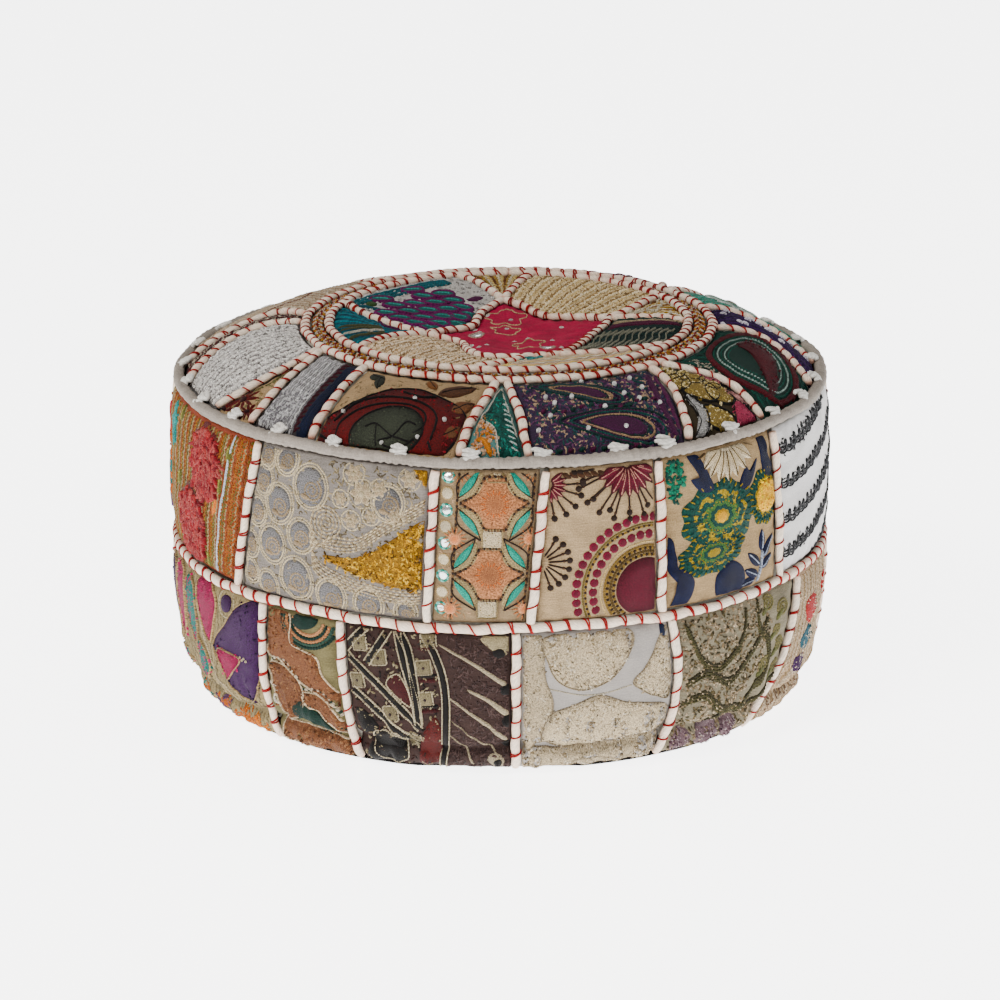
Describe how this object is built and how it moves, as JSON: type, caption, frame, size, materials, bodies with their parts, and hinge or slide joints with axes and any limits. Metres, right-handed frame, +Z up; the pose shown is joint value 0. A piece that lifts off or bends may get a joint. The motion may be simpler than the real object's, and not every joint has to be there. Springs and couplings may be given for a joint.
{
  "type": "floor pouf",
  "caption": "Round low floor pouf: domed seat, cover of embroidered cloth patches between whip-stitched seam cords, piped seat edge, wadding cushion inside and a zipped base.",
  "frame": {"origin": "centre of the base, on the floor", "axes": "+Z up out of the seat, -Y towards the front, +X to the right as seen from the front"},
  "size_m": [0.6105, 0.6105, 0.349],
  "materials": {
    "seat_wedge_maroon_zigzag": "embroidered cloth, matt with a thread sheen",
    "seat_petal_silver_moss": "embroidered cloth, matt with a thread sheen",
    "seat_wedge_tan_floral": "embroidered cloth, matt with a thread sheen",
    "seat_petal_grey_couched": "embroidered cloth, matt with a thread sheen",
    "seat_petal_rose": "embroidered cloth, matt with a thread sheen",
    "seat_wedge_teal_feather": "embroidered cloth, matt with a thread sheen",
    "seat_petal_purple_paisley": "embroidered cloth, matt with a thread sheen",
    "seat_wedge_gold_scales": "embroidered cloth, matt with a thread sheen",
    "seat_petal_emerald_teardrop": "embroidered cloth, matt with a thread sheen",
    "seat_wedge_violet": "embroidered cloth, matt with a thread sheen",
    "seat_petal_mint": "embroidered cloth, matt with a thread sheen",
    "seat_wedge_rust": "embroidered cloth, matt with a thread sheen",
    "seat_petal_plum": "embroidered cloth, matt with a thread sheen",
    "seat_petal_pink": "embroidered cloth, matt with a thread sheen",
    "seat_petal_beige_sequin": "embroidered cloth, matt with a thread sheen",
    "centre_star_crimson": "embroidered cloth, matt with a thread sheen",
    "centre_petal_sand": "embroidered cloth, matt with a thread sheen",
    "centre_petal_cream": "embroidered cloth, matt with a thread sheen",
    "centre_petal_dark_teal": "embroidered cloth, matt with a thread sheen",
    "centre_wedge_gold": "embroidered cloth, matt with a thread sheen",
    "centre_petal_khaki": "embroidered cloth, matt with a thread sheen",
    "centre_wedge_gold_back": "embroidered cloth, matt with a thread sheen",
    "centre_petal_peacock": "embroidered cloth, matt with a thread sheen",
    "centre_wedge_teal": "embroidered cloth, matt with a thread sheen",
    "ring_band_braid": "embroidered cloth, matt with a thread sheen",
    "upper_patch_coral_shaggy": "embroidered cloth, matt with a thread sheen",
    "upper_patch_cream_paisley": "embroidered cloth, matt with a thread sheen",
    "upper_patch_peach_tiles": "embroidered cloth, matt with a thread sheen",
    "upper_patch_crimson_sun": "embroidered cloth, matt with a thread sheen",
    "upper_patch_green_peony": "embroidered cloth, matt with a thread sheen",
    "upper_patch_silver_satin": "embroidered cloth, matt with a thread sheen",
    "upper_patch_rust_scrolls": "embroidered cloth, matt with a thread sheen",
    "upper_patch_ivory_lattice": "embroidered cloth, matt with a thread sheen",
    "upper_patch_navy_blossom": "embroidered cloth, matt with a thread sheen",
    "upper_patch_olive_vine": "embroidered cloth, matt with a thread sheen",
    "lower_patch_magenta_felt": "embroidered cloth, matt with a thread sheen",
    "lower_patch_salmon_flowers": "embroidered cloth, matt with a thread sheen",
    "lower_patch_black_maroon": "embroidered cloth, matt with a thread sheen",
    "lower_patch_ivory_lace": "embroidered cloth, matt with a thread sheen",
    "lower_patch_khaki_scrolls": "embroidered cloth, matt with a thread sheen",
    "lower_patch_beige_mix": "embroidered cloth, matt with a thread sheen",
    "lower_patch_pink_tufts": "embroidered cloth, matt with a thread sheen",
    "lower_patch_teal_paisley": "embroidered cloth, matt with a thread sheen",
    "lower_patch_crimson_floral": "embroidered cloth, matt with a thread sheen",
    "lower_patch_mustard_waves": "embroidered cloth, matt with a thread sheen",
    "seam_cord": "raw cotton cord, whip-stitched",
    "piping_cloth": "plain greige cotton",
    "base_canvas": "dark cotton canvas",
    "zip_tape": "woven tape",
    "zip_metal": "aged brass",
    "liner_cotton": "plain white cotton",
    "wadding": "loose cotton wadding"
  },
  "bodies": {
    "pouf": {"seat_wedge_maroon_zigzag": "seat_wedge_maroon_zigzag", "seat_petal_silver_moss": "seat_petal_silver_moss", "seat_wedge_tan_floral": "seat_wedge_tan_floral", "seat_petal_grey_couched": "seat_petal_grey_couched", "seat_petal_rose": "seat_petal_rose", "seat_wedge_teal_feather": "seat_wedge_teal_feather", "seat_petal_purple_paisley": "seat_petal_purple_paisley", "seat_wedge_gold_scales": "seat_wedge_gold_scales", "seat_petal_emerald_teardrop": "seat_petal_emerald_teardrop", "seat_wedge_violet": "seat_wedge_violet", "seat_petal_mint": "seat_petal_mint", "seat_wedge_rust": "seat_wedge_rust", "seat_petal_plum": "seat_petal_plum", "seat_petal_pink": "seat_petal_pink", "seat_petal_beige_sequin": "seat_petal_beige_sequin", "centre_star_crimson": "centre_star_crimson", "centre_petal_sand": "centre_petal_sand", "centre_petal_cream": "centre_petal_cream", "centre_petal_dark_teal": "centre_petal_dark_teal", "centre_wedge_gold": "centre_wedge_gold", "centre_petal_khaki": "centre_petal_khaki", "centre_wedge_gold_back": "centre_wedge_gold_back", "centre_petal_peacock": "centre_petal_peacock", "centre_wedge_teal": "centre_wedge_teal", "ring_band_braid": "ring_band_braid", "upper_patch_coral_shaggy": "upper_patch_coral_shaggy", "upper_patch_cream_paisley": "upper_patch_cream_paisley", "upper_patch_peach_tiles": "upper_patch_peach_tiles", "upper_patch_crimson_sun": "upper_patch_crimson_sun", "upper_patch_green_peony": "upper_patch_green_peony", "upper_patch_silver_satin": "upper_patch_silver_satin", "upper_patch_rust_scrolls": "upper_patch_rust_scrolls", "upper_patch_ivory_lattice": "upper_patch_ivory_lattice", "upper_patch_navy_blossom": "upper_patch_navy_blossom", "upper_patch_olive_vine": "upper_patch_olive_vine", "lower_patch_magenta_felt": "lower_patch_magenta_felt", "lower_patch_salmon_flowers": "lower_patch_salmon_flowers", "lower_patch_black_maroon": "lower_patch_black_maroon", "lower_patch_ivory_lace": "lower_patch_ivory_lace", "lower_patch_khaki_scrolls": "lower_patch_khaki_scrolls", "lower_patch_beige_mix": "lower_patch_beige_mix", "lower_patch_pink_tufts": "lower_patch_pink_tufts", "lower_patch_teal_paisley": "lower_patch_teal_paisley", "lower_patch_crimson_floral": "lower_patch_crimson_floral", "lower_patch_mustard_waves": "lower_patch_mustard_waves", "seat_outer_seam_cords": "seam_cord", "seat_centre_seam_cords": "seam_cord", "side_seam_cords": "seam_cord", "seat_edge_piping": "piping_cloth", "base_panel_flap": "base_canvas", "base_panel_main": "base_canvas", "zip_tape_front": "zip_tape", "zip_tape_back": "zip_tape", "zip_chain": "zip_metal", "liner_body": "liner_cotton", "liner_top_panel": "liner_cotton", "wadding_core": "wadding"},
    "slider": {"zip_slider": "zip_metal"},
    "pull": {"zip_pull": "zip_metal"}
  },
  "joints": [
    {"name": "zip_slide", "type": "slide", "parent": "pouf", "child": "slider", "axis": [1, 0, 0], "range_m": [0, 0.364]},
    {"name": "zip_pull_hinge", "type": "hinge", "parent": "slider", "child": "pull", "pos_m": [-0.182, 0.11, 0.0033], "axis": [0, 1, 0], "range_deg": [0, 170]}
  ]
}
